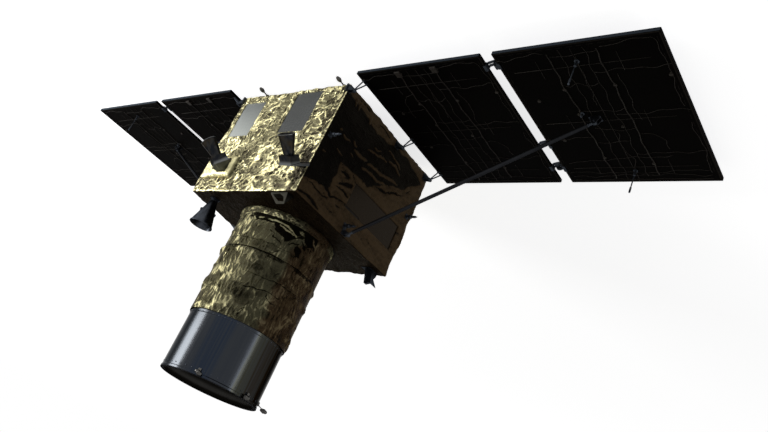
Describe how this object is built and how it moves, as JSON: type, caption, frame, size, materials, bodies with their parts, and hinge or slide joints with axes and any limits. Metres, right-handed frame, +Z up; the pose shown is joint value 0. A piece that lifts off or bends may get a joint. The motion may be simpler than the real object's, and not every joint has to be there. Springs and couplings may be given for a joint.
{
  "type": "satellite",
  "caption": "Box satellite in crinkled gold foil, with a telescope barrel, folding two-panel solar wings held by struts, star trackers and a horn antenna.",
  "frame": {"origin": "centre of the separation ring's lower face, on the floor", "axes": "+Z up along the telescope, X along the solar wings, star trackers on the -Y side"},
  "size_m": [4.326, 1.1511, 1.784],
  "materials": {
    "foil": "crinkled gold-coloured foil",
    "honeycomb": "bonded honeycomb panel with bare skins",
    "ring_metal": "machined",
    "inner_block": "plain block that stands for the equipment",
    "radiator": "silvered sheet",
    "dark_tube": "carbon-fibre laminate",
    "shade_metal": "dark anodised, satin",
    "black_lining": "matt black",
    "mirror": "polished",
    "dark_fittings": "dark anodised",
    "horn_metal": "bare dark metal",
    "fittings": "machined and bead-blasted",
    "panel": "black carbon-fibre skins on honeycomb, cells on the lower face",
    "strut": "dark grey tube"
  },
  "bodies": {
    "bus": {"separation_ring": "ring_metal", "zenith_panel": "honeycomb", "nadir_panel": "honeycomb", "side_panel_left": "honeycomb", "side_panel_right": "honeycomb", "side_panel_front": "honeycomb", "side_panel_back": "honeycomb", "equipment_block": "inner_block", "foil_blankets": "foil", "radiators": "radiator", "telescope_tube": "dark_tube", "barrel_wrap": "foil", "barrel_collar": "foil", "sunshade": "shade_metal", "shade_baffles": "black_lining", "primary_mirror": "mirror", "inner_baffle": "black_lining", "mirror_spider": "black_lining", "secondary_mirror": "mirror", "star_tracker_boxes": "dark_fittings", "star_tracker_shades": "shade_metal", "star_tracker_brackets": "dark_fittings", "star_tracker_skirt": "foil", "horn_plinth": "horn_metal", "horn_antenna": "horn_metal", "nadir_bracket_front": "fittings", "nadir_bracket_back": "fittings", "edge_sensors": "fittings", "shade_sensors": "fittings", "hold_down_stubs": "fittings", "strut_feet": "fittings", "root_hinge_brackets": "fittings"},
    "inner_left": {"inner_panel_left": "panel", "root_hinge_leaves_left": "fittings", "mid_hinge_clevises_left": "fittings"},
    "outer_left": {"outer_panel_left": "panel", "mid_hinge_lugs_left": "fittings", "hold_down_rods_left": "fittings", "strut_catch_left": "fittings"},
    "strut_left": {"strut_tube_left": "strut", "strut_ends_left": "fittings"},
    "inner_right": {"inner_panel_right": "panel", "root_hinge_leaves_right": "fittings", "mid_hinge_clevises_right": "fittings"},
    "outer_right": {"outer_panel_right": "panel", "mid_hinge_lugs_right": "fittings", "hold_down_rods_right": "fittings", "strut_catch_right": "fittings"},
    "strut_right": {"strut_tube_right": "strut", "strut_ends_right": "fittings"}
  },
  "joints": [
    {"name": "left_root_hinge", "type": "hinge", "parent": "bus", "child": "inner_left", "pos_m": [0.4965, 0, 0.1395], "axis": [0, -1, 0], "range_deg": [0, 90]},
    {"name": "left_middle_hinge", "type": "hinge", "parent": "inner_left", "child": "outer_left", "pos_m": [1.353, 0, 0.061], "axis": [0, 1, 0], "range_deg": [0, 180]},
    {"name": "left_strut_hinge", "type": "hinge", "parent": "bus", "child": "strut_left", "pos_m": [0.484, -0.008, 0.798], "axis": [0, -1, 0], "range_deg": [0, 119.06]},
    {"name": "right_root_hinge", "type": "hinge", "parent": "bus", "child": "inner_right", "pos_m": [-0.4965, 0, 0.1395], "axis": [0, 1, 0], "range_deg": [0, 90]},
    {"name": "right_middle_hinge", "type": "hinge", "parent": "inner_right", "child": "outer_right", "pos_m": [-1.353, 0, 0.061], "axis": [0, -1, 0], "range_deg": [0, 180]},
    {"name": "right_strut_hinge", "type": "hinge", "parent": "bus", "child": "strut_right", "pos_m": [-0.484, -0.008, 0.798], "axis": [0, 1, 0], "range_deg": [0, 119.06]}
  ],
  "couplings": [
    {"joint": "left_middle_hinge", "follows": "left_root_hinge", "ratio": 2},
    {"joint": "left_strut_hinge", "follows": "left_root_hinge", "ratio": 1.3228},
    {"joint": "right_middle_hinge", "follows": "right_root_hinge", "ratio": 2},
    {"joint": "right_strut_hinge", "follows": "right_root_hinge", "ratio": 1.3228}
  ]
}
